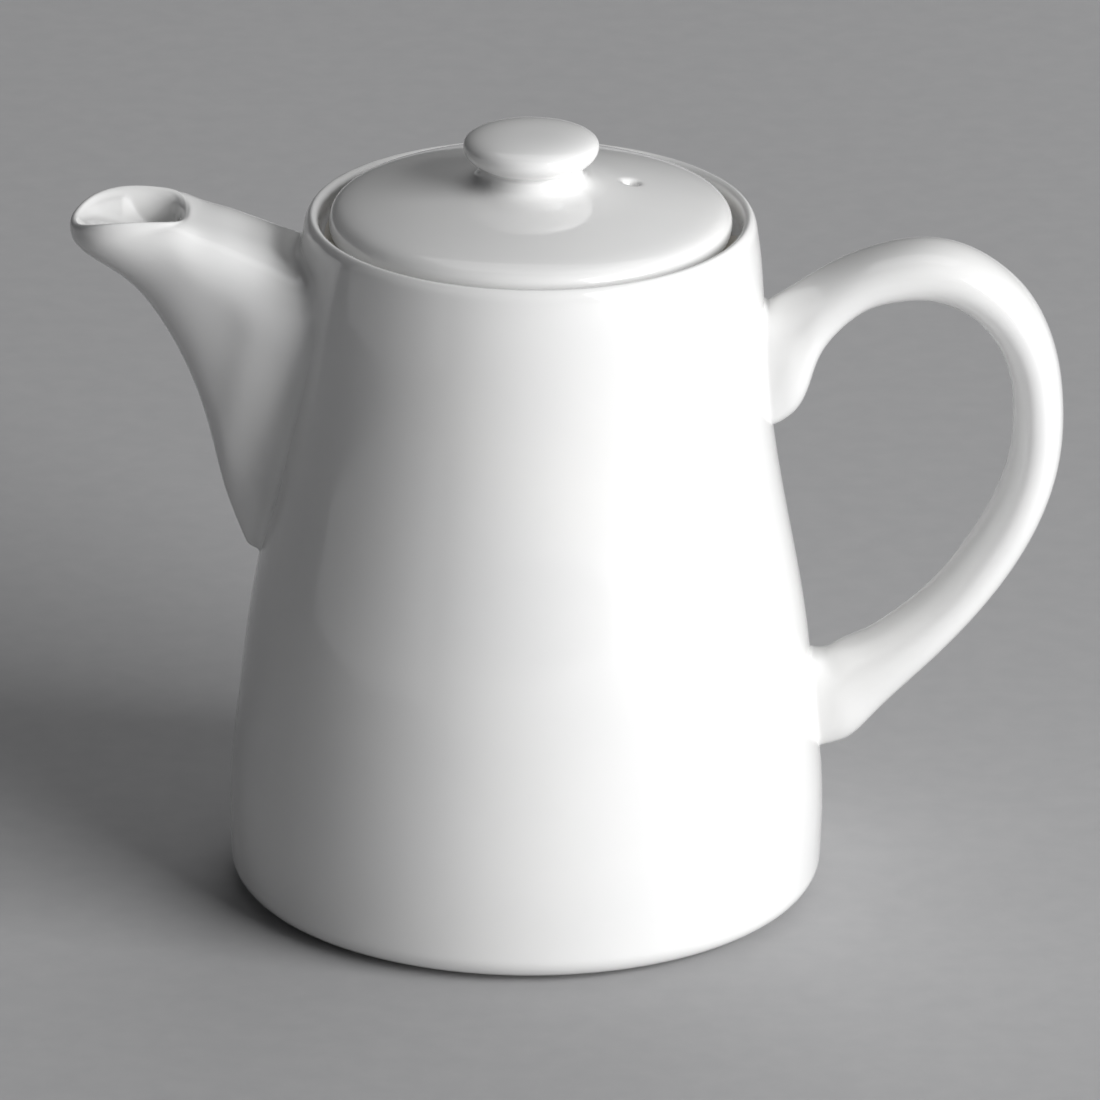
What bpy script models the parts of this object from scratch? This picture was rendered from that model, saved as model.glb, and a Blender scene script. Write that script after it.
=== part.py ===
"""White porcelain coffee pot: tapered body, scooped spout, loop handle and lift-off lid.

Lengths are in millimetres and become metres when a mesh is written. Heights start at the
table. The pot is drawn around its own turning axis, with the handle towards +X and the spout
towards -X, and the empty "pot_axis" then carries it to where the whole outline is centred.
"""

import bmesh
import bpy
import numpy as np

MM = 0.001

# Overall size
BASE_RADIUS = 57.5
RIM_HEIGHT = 136.0
SPOUT_REACH = 87.9
HANDLE_REACH = 102.5
AXIS_X = (SPOUT_REACH - HANDLE_REACH) / 2

# Room between two pieces that touch, and the room a cutter runs past a face
GAP = 0.3
OVERRUN = 5.0

# Body: outer radius against height, from the bottom corner to just under the rim
WALL = 3.6
BODY_STATIONS = [
    (57.2, 4.6), (BASE_RADIUS, 17.0), (55.7, 38.0), (53.3, 56.0),
    (50.0, 75.0), (46.6, 95.5), (44.8, 118.0), (43.5, 133.0),
]
BOTTOM_CORNER = 4.6
UNDERSIDE = 1.0
FLOOR_TOP = 7.0
INNER_CORNER = 9.0
INSIDE_HEIGHTS = (110.0, 95.0, 75.0, 56.0, 38.0, 22.0)

# Foot ring, let into a groove under the floor
FOOT_INNER = 46.5
FOOT_OUTER = 50.5
FOOT_HEIGHT = 3.2
FOOT_CHAMFER = 0.5
RECESS = 2.4

# Mouth: rim, the ledge that the lid sits on and the notch that lets the lug through
RIM_INNER = 41.1
RIM_ROUND = [(43.2, 134.8), (42.3, RIM_HEIGHT), (41.4, 135.4), (RIM_INNER, 134.4)]
LEDGE_TOP = 131.8
LEDGE_BORE = 34.6
LEDGE_EDGE = 2.4
LEDGE_ROOT = 124.5
NOTCH_RADIUS = 38.8
NOTCH_WIDTH = 11.0

# Lid
LID_SEAT = LEDGE_TOP + GAP
LID_EDGE = [(37.7, LID_SEAT), (38.4, 133.4), (38.5, 134.7), (38.2, 136.0), (37.4, 137.2)]
LID_DOME = [(36.0, 138.05), (32.0, 139.25), (26.0, 140.5), (20.0, 141.5), (14.0, 142.3)]
LID_PAD_RADIUS = 11.4
LID_PAD = 142.6
LID_THICKNESS = 4.0
LID_UNDER_INSET = 1.0
LID_UNDER_EDGE = 134.0
FLANGE_OUTER = 33.6
FLANGE_INNER = 30.4
FLANGE_BOTTOM = 121.0
FLANGE_CHAMFER = 1.0
VENT_RADIUS = 1.5
VENT_PLACE = 19.3
TURN = np.radians(9.0)

# Locking lug on the flange, in line with the vent
LUG_OUTER = 37.6
LUG_WIDTH = 9.0
LUG_HEIGHTS = (122.4, 126.4)
LUG_CORNER = (1.2, 1.6)
LUG_HOLLOW = 0.4

# Knob
KNOB_RADIUS = 12.95
KNOB_MIDDLE = 149.7
KNOB_RISE = 3.1
KNOB_DROP = 5.5
KNOB_NECK = 10.0
KNOB_FOOT = 11.0
KNOB_FOOT_RISE = 0.9
KNOB_UNDERCUT = -40.0

# Spout, as slices between a point on its top line and a point on its keel.
# Each row: top x, top z, keel x, keel z, half width, drop shape (0 wedge to 1 pear), side lift
SPOUT_OUTSIDE = [
    (-47.6, 127.0, -57.6, 76.2, 16.2, 0.0, 0.0),
    (-52.5, 129.0, -60.6, 88.5, 15.6, 0.0, 0.0),
    (-58.0, 131.4, -64.0, 101.0, 14.6, 0.0, 0.0),
    (-62.2, 133.4, -69.4, 113.0, 13.7, 0.1, 0.3),
    (-64.2, 134.5, -77.4, 123.7, 13.0, 0.4, 1.0),
    (-65.0, 135.1, -85.0, 129.0, 11.9, 0.8, 1.8),
    (-65.4, 135.3, -SPOUT_REACH, 132.4, 10.8, 1.0, 2.2),
    (-65.9, 135.3, -87.5, 134.1, 10.1, 1.0, 2.4),
]
SPOUT_INSIDE = [
    (-66.6, 134.8, -86.3, 134.0, 9.0, 1.0, 2.2),
    (-67.0, 133.2, -82.0, 133.0, 7.2, 1.0, 1.4),
    (-66.6, 130.6, -75.6, 130.8, 5.0, 0.8, 0.5),
    (-64.6, 126.6, -70.6, 124.6, 3.9, 0.5, 0.0),
    (-60.0, 122.6, -65.6, 112.0, 5.4, 0.2, 0.0),
    (-53.0, 119.0, -60.0, 95.0, 7.0, 0.0, 0.0),
]
# Half outlines of a slice: (share of the half width, share of the way from top to keel)
WEDGE = [(0.0, 0.0), (0.62, 0.01), (0.97, 0.10), (0.74, 0.42), (0.42, 0.80), (0.0, 1.0)]
PEAR = [(0.0, 0.0), (0.42, 0.03), (0.84, 0.26), (1.0, 0.52), (0.72, 0.86), (0.0, 1.0)]
# Where the spout and the handle meet the body: top, bottom and half width on the wall
SPOUT_ROOT = (126.2, 70.0, 17.0)
SPOUT_PORT = (116.0, 80.0, 8.0)

# Handle: middle line x and z, and half thickness, from the upper root to the lower one
HANDLE_HALF_WIDTH = 9.0
LOWER_HALF_WIDTH = 8.0
HANDLE_SIDE = 4.85
HANDLE_LINE = [
    (54.6, 116.6, 5.9), (63.8, 122.9, 5.0), (75.3, 125.3, 5.4), (86.4, 121.5, 5.3),
    (94.0, 112.4, 5.1), (HANDLE_REACH - HANDLE_SIDE, 98.5, HANDLE_SIDE), (96.6, 85.6, 4.9),
    (91.4, 71.8, 5.0), (83.6, 59.9, 5.05), (74.4, 50.1, 5.5), (65.0, 42.6, 7.1),
]
# Slices that fan out to a root: outer x, outer z, inner x, inner z
UPPER_FAN = [(47.6, 119.6, 50.9, 96.6), (50.0, 121.2, 53.4, 103.6)]
LOWER_FAN = [(59.8, 28.6, 58.6, 47.2)]
UPPER_ROOT = (118.0, 93.9, 8.2)
LOWER_ROOT = (48.5, 27.6, 7.4)

# Mesh fineness
TURN_STEPS = 56
KNOB_STEPS = 40
KNOB_POINTS = 11
CORNER_STEPS = 4
WALL_STEPS = 2
CURVE_STEPS = 8
SLICE_STEPS = 3
LOFT_STEPS = 2
HANDLE_POINTS = 20
LAND_SHARES = (0.0, 0.5, 1.0)
CAP_SHARES = (0.15, 0.6, 1.0)
VENT_SIDES = 12
MERGE = 0.0005
SHARP_DEGREES = 40

# Finishes: base colour, roughness
GLAZE = ((0.86, 0.86, 0.85, 1.0), 0.08)
BISCUIT = ((0.78, 0.74, 0.68, 1.0), 0.75)


def smooth(points, steps):
    """Catmull-Rom curve through the points, with a number of steps to each span."""
    p = np.array(points, dtype=float)
    p = np.vstack([2 * p[0] - p[1], p, 2 * p[-1] - p[-2]])
    rows = []
    for a, b, c, d in zip(p, p[1:], p[2:], p[3:]):
        for t in np.arange(steps) / steps:
            rows.append(0.5 * (2 * b + (c - a) * t + (2 * a - 5 * b + 4 * c - d) * t ** 2
                               + (3 * b - a - 3 * c + d) * t ** 3))
    rows.append(p[-2])
    return np.array(rows)


def arc(centre, radius, start, end, steps):
    """Points on a circle in the r-z plane, between two angles in degrees."""
    angles = np.radians(np.linspace(start, end, steps + 1))
    return [(centre[0] + radius * np.cos(a), centre[1] + radius * np.sin(a)) for a in angles]


BODY_CURVE = smooth(BODY_STATIONS, CURVE_STEPS)


def body_radius(z):
    """Outer radius of the body at a height."""
    return np.interp(z, BODY_CURVE[:, 1], BODY_CURVE[:, 0])


def make_material(name, finish):
    material = bpy.data.materials.new(name)
    material.use_nodes = True
    shader = material.node_tree.nodes["Principled BSDF"]
    shader.inputs["Base Color"].default_value = finish[0]
    shader.inputs["Roughness"].default_value = finish[1]
    shader.inputs["Metallic"].default_value = 0.0
    material.diffuse_color = finish[0]
    return material


def add_object(name, bm, finish, parent, origin=(0.0, 0.0, 0.0)):
    """Write a bmesh drawn in millimetres as a named object with its own material."""
    bmesh.ops.recalc_face_normals(bm, faces=bm.faces[:])
    bmesh.ops.translate(bm, vec=[-c for c in origin], verts=bm.verts[:])
    bmesh.ops.scale(bm, vec=(MM, MM, MM), verts=bm.verts[:])
    mesh = bpy.data.meshes.new(name)
    bm.to_mesh(mesh)
    bm.free()
    mesh.shade_smooth()
    mesh.set_sharp_from_angle(angle=np.radians(SHARP_DEGREES))
    piece = bpy.data.objects.new(name, mesh)
    bpy.context.collection.objects.link(piece)
    piece.location = [c * MM for c in origin]
    piece.parent = parent
    if finish:
        mesh.materials.append(make_material(name + "_finish", finish))
    return piece


def cut(piece, cutter):
    """Take the cutter out of the piece and keep the cutter as a hidden guide."""
    cutter.hide_render = True
    cutter.display_type = "WIRE"
    step = piece.modifiers.new("cut_" + cutter.name, "BOOLEAN")
    step.operation = "DIFFERENCE"
    step.solver = "EXACT"
    step.object = cutter


def spin_profile(profile, closed, steps):
    """Turn an r-z outline about the Z axis. An open outline starts and ends on the axis."""
    bm = bmesh.new()
    verts = [bm.verts.new((r, 0.0, z)) for r, z in profile]
    edges = [bm.edges.new(pair) for pair in zip(verts, verts[1:])]
    if closed:
        edges.append(bm.edges.new((verts[-1], verts[0])))
    bmesh.ops.spin(bm, geom=verts + edges, cent=(0, 0, 0), axis=(0, 0, 1),
                   angle=2 * np.pi, steps=steps)
    bmesh.ops.remove_doubles(bm, verts=bm.verts[:], dist=MERGE)
    return bm


def loft(rings, closed=False):
    """Skin rings of equal length. An open stack is capped at both ends."""
    bm = bmesh.new()
    loops = [[bm.verts.new(point) for point in ring] for ring in rings]
    pairs = list(zip(loops, loops[1:]))
    if closed:
        pairs.append((loops[-1], loops[0]))
    for lower, upper in pairs:
        for i in range(len(lower)):
            j = (i + 1) % len(lower)
            bm.faces.new((lower[i], lower[j], upper[j], upper[i]))
    if not closed:
        bm.faces.new(loops[0])
        bm.faces.new(loops[-1])
    return bm


def block(x_range, y_range, z_range):
    bm = bmesh.new()
    bmesh.ops.create_cube(bm, size=1.0)
    size = [b - a for a, b in (x_range, y_range, z_range)]
    middle = [(a + b) / 2 for a, b in (x_range, y_range, z_range)]
    bmesh.ops.scale(bm, vec=size, verts=bm.verts[:])
    bmesh.ops.translate(bm, vec=middle, verts=bm.verts[:])
    return bm


def turn_to_lug(bm):
    """Swing a shape drawn at +X round to the lug's side of the axis."""
    spin = ((np.cos(TURN), -np.sin(TURN), 0), (np.sin(TURN), np.cos(TURN), 0), (0, 0, 1))
    for vert in bm.verts:
        vert.co = [sum(row[k] * vert.co[k] for k in range(3)) for row in spin]
    return bm


def body_profile():
    """Closed section of the body wall, from the middle of the floor outside to inside."""
    outside = [(0.0, RECESS), (FOOT_INNER - GAP, RECESS)]
    outside += [(FOOT_INNER - GAP, FOOT_HEIGHT + GAP), (FOOT_OUTER + GAP, FOOT_HEIGHT + GAP)]
    outside += [(FOOT_OUTER + GAP, UNDERSIDE)]
    corner = (BODY_STATIONS[0][0] - BOTTOM_CORNER, UNDERSIDE + BOTTOM_CORNER)
    outside += arc(corner, BOTTOM_CORNER, -90, -15, CORNER_STEPS)
    outside += [tuple(p) for p in smooth(BODY_STATIONS[1:], WALL_STEPS)]
    ledge = [(RIM_INNER, LEDGE_TOP), (LEDGE_BORE, LEDGE_TOP)]
    ledge += [(LEDGE_BORE, LEDGE_TOP - LEDGE_EDGE), (body_radius(LEDGE_ROOT) - WALL, LEDGE_ROOT)]
    inside = [(body_radius(z) - WALL, z) for z in INSIDE_HEIGHTS]
    inner_wall = BASE_RADIUS - WALL
    corner = (inner_wall - INNER_CORNER, FLOOR_TOP + INNER_CORNER)
    inside += arc(corner, INNER_CORNER, 0, -90, CORNER_STEPS)
    return outside + RIM_ROUND + ledge + inside + [(0.0, FLOOR_TOP)]


def add_body(parent):
    body = add_object("pot_body", spin_profile(body_profile(), False, TURN_STEPS), GLAZE, parent)
    top, bottom, half_width = SPOUT_PORT
    rim = slice_outline(WEDGE, SLICE_STEPS)
    # Points half-way between the slice's own keep off the body's seam of vertices at y = 0
    rim = (rim + np.roll(rim, -1, axis=0)) / 2
    port = [(half_width * w, top + (bottom - top) * s) for w, s in rim]
    inner_end = -body_radius(top) + WALL + OVERRUN
    outer_end = -body_radius(bottom) - OVERRUN
    rings = [[(x, y, z) for y, z in port] for x in (outer_end, inner_end)]
    cut(body, add_object("port_cutter", loft(rings), None, parent))
    notch = block((LEDGE_BORE - OVERRUN, NOTCH_RADIUS), (-NOTCH_WIDTH / 2, NOTCH_WIDTH / 2),
                  (LEDGE_ROOT - OVERRUN, LEDGE_TOP + OVERRUN / 2))
    cut(body, add_object("notch_cutter", turn_to_lug(notch), None, parent))


def add_foot_ring(parent):
    edge = FOOT_CHAMFER
    profile = [(FOOT_INNER, FOOT_HEIGHT), (FOOT_INNER, edge), (FOOT_INNER + edge, 0.0),
               (FOOT_OUTER - edge, 0.0), (FOOT_OUTER, edge), (FOOT_OUTER, FOOT_HEIGHT)]
    add_object("foot_ring", spin_profile(profile, True, TURN_STEPS), BISCUIT, parent)


def slice_outline(half, steps):
    """Closed smooth outline, symmetric about the middle, from one half of its points."""
    mirror = [(-w, s) for w, s in half[-2:0:-1]]
    ring = list(half) + mirror
    wrapped = [ring[-1]] + ring + ring[:2]
    curve = smooth(wrapped, steps)
    return curve[steps:-2 * steps]


def spout_slice(row):
    """Ring of points for one row of the spout's table."""
    top_x, top_z, keel_x, keel_z, half_width, drop, lift = row
    half = [((1 - drop) * a[0] + drop * b[0], (1 - drop) * a[1] + drop * b[1])
            for a, b in zip(WEDGE, PEAR)]
    chord = np.array([keel_x - top_x, keel_z - top_z])
    up = np.array([chord[1], -chord[0]]) / np.hypot(*chord)
    ring = []
    for w, s in slice_outline(half, SLICE_STEPS):
        x, z = np.array([top_x, top_z]) + chord * s + up * lift * w ** 2
        ring.append((x, half_width * w, z))
    return ring


def wall_ring(root, side, gap, outline):
    """Outline laid on the outside of the body. side is +1 at the handle, -1 at the spout."""
    top, bottom, half_width = root
    ring = []
    for w, s in outline:
        y = half_width * w
        z = top + (bottom - top) * s
        ring.append((side * np.sqrt((body_radius(z) + gap) ** 2 - y ** 2), y, z))
    return ring


def between(root_a, root_b, share):
    return tuple((1 - share) * a + share * b for a, b in zip(root_a, root_b))


def add_spout(parent):
    """Skin from the port outline over the outside, round the lip and back down the channel."""
    outline = slice_outline(WEDGE, SLICE_STEPS)
    rings = [wall_ring(between(SPOUT_PORT, SPOUT_ROOT, share), -1, GAP, outline)
             for share in LAND_SHARES]
    rings += [spout_slice(row) for row in smooth(SPOUT_OUTSIDE, LOFT_STEPS)]
    rings += [spout_slice(row) for row in smooth(SPOUT_INSIDE, LOFT_STEPS)]
    add_object("spout", loft(rings, closed=True), GLAZE, parent)


def handle_slice(outer, inner, half_width):
    """Oval slice between a point outside the loop and one inside it."""
    outer = np.array(outer)
    inner = np.array(inner)
    middle = (outer + inner) / 2
    ring = []
    for angle in np.arange(HANDLE_POINTS) * 2 * np.pi / HANDLE_POINTS:
        x, z = middle + (outer - inner) / 2 * np.cos(angle)
        ring.append((x, half_width * np.sin(angle), z))
    return ring


def root_cap(root):
    """Rings that close a handle root against the body wall, from near its middle outwards."""
    angles = np.arange(HANDLE_POINTS) * 2 * np.pi / HANDLE_POINTS
    oval = [(np.sin(a), (1 - np.cos(a)) / 2) for a in angles]
    middle = ((root[0] + root[1]) / 2,) * 2 + (0.0,)
    return [wall_ring(between(middle, root, share), 1, GAP, oval) for share in CAP_SHARES]


def add_handle(parent):
    upper = root_cap(UPPER_ROOT)
    # The lower root is met from above, so its rings run with their outer side at the bottom
    lower = root_cap((LOWER_ROOT[1], LOWER_ROOT[0], LOWER_ROOT[2]))
    rings = upper
    for x_out, z_out, x_in, z_in in UPPER_FAN:
        rings.append(handle_slice((x_out, z_out), (x_in, z_in), HANDLE_HALF_WIDTH))
    line = smooth(HANDLE_LINE, LOFT_STEPS)
    tangents = np.gradient(line[:, :2], axis=0)
    for (x, z, half), tangent in zip(line, tangents):
        normal = np.array([-tangent[1], tangent[0]]) / np.hypot(*tangent)
        middle = np.array([x, z])
        rings.append(handle_slice(middle + half * normal, middle - half * normal,
                                  HANDLE_HALF_WIDTH))
    for x_out, z_out, x_in, z_in in LOWER_FAN:
        rings.append(handle_slice((x_out, z_out), (x_in, z_in), LOWER_HALF_WIDTH))
    rings += lower[::-1]
    add_object("handle", loft(rings), GLAZE, parent)


def lid_profile():
    """Closed section of the lid, over the dome and back under it round the flange."""
    top = [(0.0, LID_PAD), (LID_PAD_RADIUS, LID_PAD)] + LID_DOME[::-1] + LID_EDGE[::-1]
    edge = FLANGE_CHAMFER
    flange = [(FLANGE_OUTER, LID_SEAT), (FLANGE_OUTER, FLANGE_BOTTOM + edge),
              (FLANGE_OUTER - edge, FLANGE_BOTTOM), (FLANGE_INNER + edge, FLANGE_BOTTOM),
              (FLANGE_INNER, FLANGE_BOTTOM + edge)]
    under = [(FLANGE_INNER, LID_UNDER_EDGE)]
    under += [(r - LID_UNDER_INSET, z - LID_THICKNESS) for r, z in LID_DOME[2:]]
    return top + flange + under + [(0.0, LID_PAD - LID_THICKNESS)]


def add_lid(parent):
    origin = (0.0, 0.0, LID_SEAT)
    bm = spin_profile(lid_profile(), False, TURN_STEPS)
    lid = add_object("lid", bm, GLAZE, parent, origin)
    vent = bmesh.new()
    bmesh.ops.create_cone(vent, cap_ends=True, segments=VENT_SIDES, radius1=VENT_RADIUS,
                          radius2=VENT_RADIUS, depth=4 * OVERRUN)
    bmesh.ops.translate(vent, vec=(VENT_PLACE, 0.0, LID_PAD), verts=vent.verts[:])
    cut(lid, add_object("vent_cutter", turn_to_lug(vent), None, parent))


def add_lid_lug(parent):
    """Small tab standing off the flange, rounded on its outer edge."""
    inner = FLANGE_OUTER + GAP
    half = LUG_WIDTH / 2
    depth, width = LUG_CORNER
    plan = [(inner, -half), (LUG_OUTER - depth, -half), (LUG_OUTER, -half + width),
            (LUG_OUTER, half - width), (LUG_OUTER - depth, half), (inner, half)]
    # The inner side is hollowed to follow the flange
    plan += [(np.sqrt(inner ** 2 - y ** 2) + LUG_HOLLOW, y) for y in (half / 2, 0.0, -half / 2)]
    rings = [[(x, y, z) for x, y in plan] for z in LUG_HEIGHTS]
    origin = (0.0, 0.0, LID_SEAT)
    add_object("lid_lug", turn_to_lug(loft(rings)), GLAZE, parent, origin)


def add_lid_knob(parent):
    """Flattened button on a short neck: half ellipses over and under its widest line."""
    bottom = LID_PAD + GAP
    profile = [(0.0, bottom), (KNOB_FOOT, bottom), (KNOB_NECK, bottom + KNOB_FOOT_RISE)]
    for angle in np.radians(np.linspace(KNOB_UNDERCUT, 90, KNOB_POINTS)):
        height = KNOB_RISE if angle > 0 else KNOB_DROP
        profile.append((KNOB_RADIUS * np.cos(angle), KNOB_MIDDLE + height * np.sin(angle)))
    origin = (0.0, 0.0, LID_SEAT)
    add_object("lid_knob", spin_profile(profile, False, KNOB_STEPS), GLAZE, parent, origin)


def add_empty(name, x=0.0, parent=None):
    empty = bpy.data.objects.new(name, None)
    empty.location = (x * MM, 0.0, 0.0)
    empty.parent = parent
    bpy.context.collection.objects.link(empty)
    return empty


def main():
    for old in list(bpy.data.objects):
        bpy.data.objects.remove(old, do_unlink=True)
    pot_axis = add_empty("pot_axis", AXIS_X)
    lid_axis = add_empty("lid_axis", parent=pot_axis)
    add_body(pot_axis)
    add_foot_ring(pot_axis)
    add_spout(pot_axis)
    add_handle(pot_axis)
    add_lid(lid_axis)
    add_lid_lug(lid_axis)
    add_lid_knob(lid_axis)


main()
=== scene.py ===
"""White porcelain coffee pot: fine surfaces, glaze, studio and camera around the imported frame.

Shapes are drawn in millimetres around the pot's turning axis, handle towards +X and spout
towards -X, and move to the frame's place and metres when a mesh is written.
"""

import math

import bmesh
import bpy
import numpy as np
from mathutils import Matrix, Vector


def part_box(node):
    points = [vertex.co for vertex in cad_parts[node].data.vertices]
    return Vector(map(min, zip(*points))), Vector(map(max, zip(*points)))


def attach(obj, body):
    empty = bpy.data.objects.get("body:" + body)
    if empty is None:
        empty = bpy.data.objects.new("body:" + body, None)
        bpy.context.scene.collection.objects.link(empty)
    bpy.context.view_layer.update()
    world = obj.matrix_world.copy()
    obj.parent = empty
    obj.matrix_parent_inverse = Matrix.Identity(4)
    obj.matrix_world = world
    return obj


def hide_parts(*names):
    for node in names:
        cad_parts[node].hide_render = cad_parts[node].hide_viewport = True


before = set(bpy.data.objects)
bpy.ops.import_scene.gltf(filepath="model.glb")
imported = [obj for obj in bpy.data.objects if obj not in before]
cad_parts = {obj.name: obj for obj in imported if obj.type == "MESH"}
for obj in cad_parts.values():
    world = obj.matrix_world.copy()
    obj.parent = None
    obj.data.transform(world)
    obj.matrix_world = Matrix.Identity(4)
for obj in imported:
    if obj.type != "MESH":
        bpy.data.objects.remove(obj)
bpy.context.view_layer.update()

MM = 0.001


def corners(node):
    """Lowest and highest corner of a CAD node, in millimetres."""
    low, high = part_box(node)
    return np.array(low) / MM, np.array(high) / MM


# A smooth curve swells a little past its points, so the outermost points step in by this much
BASE_INSET = 0.03
RIM_INSET = 0.02
SPOUT_INSET = 0.06
HANDLE_INSET = 0.14

# Sizes and places from the frame
BODY_HIGH = corners("pot_body")[1]
RING_LOW, RING_HIGH = corners("foot_ring")
LID_LOW, LID_HIGH = corners("lid")
LUG_LOW, LUG_HIGH = corners("lid_lug")
KNOB_HIGH = corners("lid_knob")[1]
AXIS_X = (RING_LOW[0] + RING_HIGH[0]) / 2
BASE_RADIUS = BODY_HIGH[1] - BASE_INSET
RIM_HEIGHT = BODY_HIGH[2]
SPOUT_REACH = AXIS_X - corners("spout")[0][0] - SPOUT_INSET
HANDLE_REACH = corners("handle")[1][0] - AXIS_X - HANDLE_INSET
FOOT_RADIUS = RING_HIGH[1]
FOOT_HEIGHT = RING_HIGH[2]
LID_RADIUS = LID_HIGH[1]
LID_TOP = LID_HIGH[2]
FLANGE_BOTTOM = LID_LOW[2]
KNOB_RADIUS = KNOB_HIGH[1]
KNOB_TOP = KNOB_HIGH[2]
LUG_MIDDLE = (LUG_LOW + LUG_HIGH) / 2
# Turn about the axis of the lug, its notch and the steam hole, which lie in one line
TURN = math.atan2(LUG_MIDDLE[1], LUG_MIDDLE[0] - AXIS_X)

# A turned profile starts and ends this far from the axis, and a fan closes it
NEAR_AXIS = 0.5
# A part joined to another reaches this far into it, so that no gap shows
SINK = 0.05
DEEP = 1.2

# Body: outer radius against height, from the bottom corner to the rim
BODY_STATIONS = [
    (57.2, 5.6), (BASE_RADIUS, 17.0), (55.7, 38.0), (53.5, 56.0),
    (50.0, 75.0), (46.6, 95.5), (44.85, 117.0), (44.3, 125.5), (43.8, 130.0), (43.35, 133.0),
]
RIM = [(43.35, 133.0), (43.1, 134.3), (42.65, 135.3), (41.9, RIM_HEIGHT - RIM_INSET),
       (41.15, 135.75), (40.65, 135.05), (40.45, 134.1), (40.4, 133.3)]
# Round between wall and underside, and the arc of it that is drawn, in degrees from level
BOTTOM_CORNER = 4.6
BOTTOM_ARC = (-82, -8)
UNDERSIDE = 1.0
# Height of the recess inside the foot ring, and the bevel at its edge, across and down
RECESS = 2.4
RECESS_BEVEL = (0.6, 0.25)
WALL = 3.6
# Plain inner wall: height where it starts, and how far apart its rings lie
INSIDE_TOP = 115.0
INSIDE_STEP = 3.0
# Floor: its height, a ring on it, and the round up to the wall with its arc in degrees
FLOOR_TOP = 7.0
FLOOR_RING = 20.0
INNER_CORNER = 9.0
INNER_ARC = (-4, -90)
FOOT_WIDTH = 4.0
FOOT_EDGE = 0.9
# The foot ring's profile starts and ends in its groove, this far out from its inner side
FOOT_START = 1.5

# Gallery inside the mouth: ledge for the lid, and the notch that lets the lug through
GALLERY_RADIUS = 40.4
GALLERY_TOP = 133.1
LEDGE_TOP = 131.8
LEDGE_BORE = 34.6
LEDGE_EDGE = 129.2
LEDGE_ROOT = 124.0
LEDGE_FOOT = 117.0
# Rounds of the gallery's corner, the ledge's top edge, its lower edge and its root
LEDGE_ROUNDS = (1.1, 1.0, 0.8, 3.0)
# Bare clay on the ledge: radii, and lowest and highest place
LEDGE_BAND = (LEDGE_BORE + 0.6, 38.6)
LEDGE_BAND_HEIGHTS = (LEDGE_TOP - 0.2, LEDGE_TOP + 0.2)
NOTCH_RADIUS = 38.3
NOTCH_HALF = math.radians(8.6)
NOTCH_SOFT = math.radians(1.4)
# The notch acts from this far over the ledge's root, and clear of the gallery's wall
NOTCH_START = 0.5
NOTCH_CLEAR = 0.05
# Finer turn steps beside the notch, in degrees, and the gap kept to the plain ones
NOTCH_SPAN = 13
NOTCH_STEP = 0.5
NOTCH_GAP = 0.4

# Lid: radius against height, from the middle of its dome out and down to its seat
LID_SEAT = 132.1
LID_CURVE = [
    (NEAR_AXIS, LID_TOP), (6.0, LID_TOP - 0.02), (14.0, 142.25), (20.0, 141.5), (26.0, 140.5),
    (32.0, 139.2), (35.6, 138.15), (37.3, 137.25), (38.2, 136.1), (LID_RADIUS, 134.8),
    (38.42, 133.6), (38.05, 132.6), (37.2, LID_SEAT + 0.05),
]
LID_THICKNESS = 4.0
# The dome's underside follows the outside, stepped in by this much
LID_STEP_IN = 1.0
FLANGE_OUTER = 33.6
FLANGE_INNER = 30.4
# Rounds of the flange: at the seat, at its two lower edges and where the dome starts
FLANGE_ROUNDS = (0.4, 1.2, 1.2, 2.4)
# Heights where the flange's inner side ends and the dome's underside starts
FLANGE_INSIDE = 134.6
UNDER_START = 135.9
# Outer radius of the lid's seat, and the bare clay on it: radii, and lowest and highest place
SEAT_RADIUS = 37.0
LID_BAND = (FLANGE_OUTER - 0.3, 37.4)
LID_BAND_HEIGHTS = (LID_SEAT - 0.6, LID_SEAT + 0.15)
# Steam hole: distance from the axis, points round it, and the patch of the lid it is let into
VENT_PLACE = 19.3
VENT_POINTS = 48
VENT_PATCH = 1.2
# Its dimple: distance from its middle, depth under the dome
VENT_DIMPLE = [(3.1, 0.0), (2.5, 0.02), (2.05, 0.1), (1.7, 0.27), (1.45, 0.55), (1.25, 0.95),
               (1.15, 1.5)]
# Its lower mouth: distance from its middle, height over the dome's underside
VENT_UNDER = [(1.15, 1.6), (1.3, 0.8), (1.6, 0.35), (2.1, 0.1), (3.0, 0.0)]

# Lug: half width, round of its edges, how far it starts inside the flange and its extra reach
LUG_HALF = 4.5
LUG_SOFT = 0.9
LUG_INSIDE = 0.6
LUG_REACH = 0.3
LUG_POINTS = 64
LUG_SQUARENESS = 4.0

# Knob: height of its widest place, and depth of the curve below that
KNOB_MIDDLE = 149.7
KNOB_DROP = 5.5
# Flare from the dome up towards the neck: radius, height over the dome
KNOB_FLARE = [(17.0, -0.4), (15.5, -0.05), (14.2, 0.015), (13.0, 0.1), (12.0, 0.28), (11.1, 0.65),
              (10.4, 1.2), (9.95, 2.0)]
# Neck: radius, height over the table
KNOB_NECK = (9.75, 145.4)
KNOB_START = math.radians(-41)
KNOB_END = math.radians(88)
KNOB_SQUARENESS = 2.6
# The knob's hidden foot lies this far inside the dome and inside the flare's edge
KNOB_SINK = 0.5
KNOB_STEP_IN = 1.0

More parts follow.
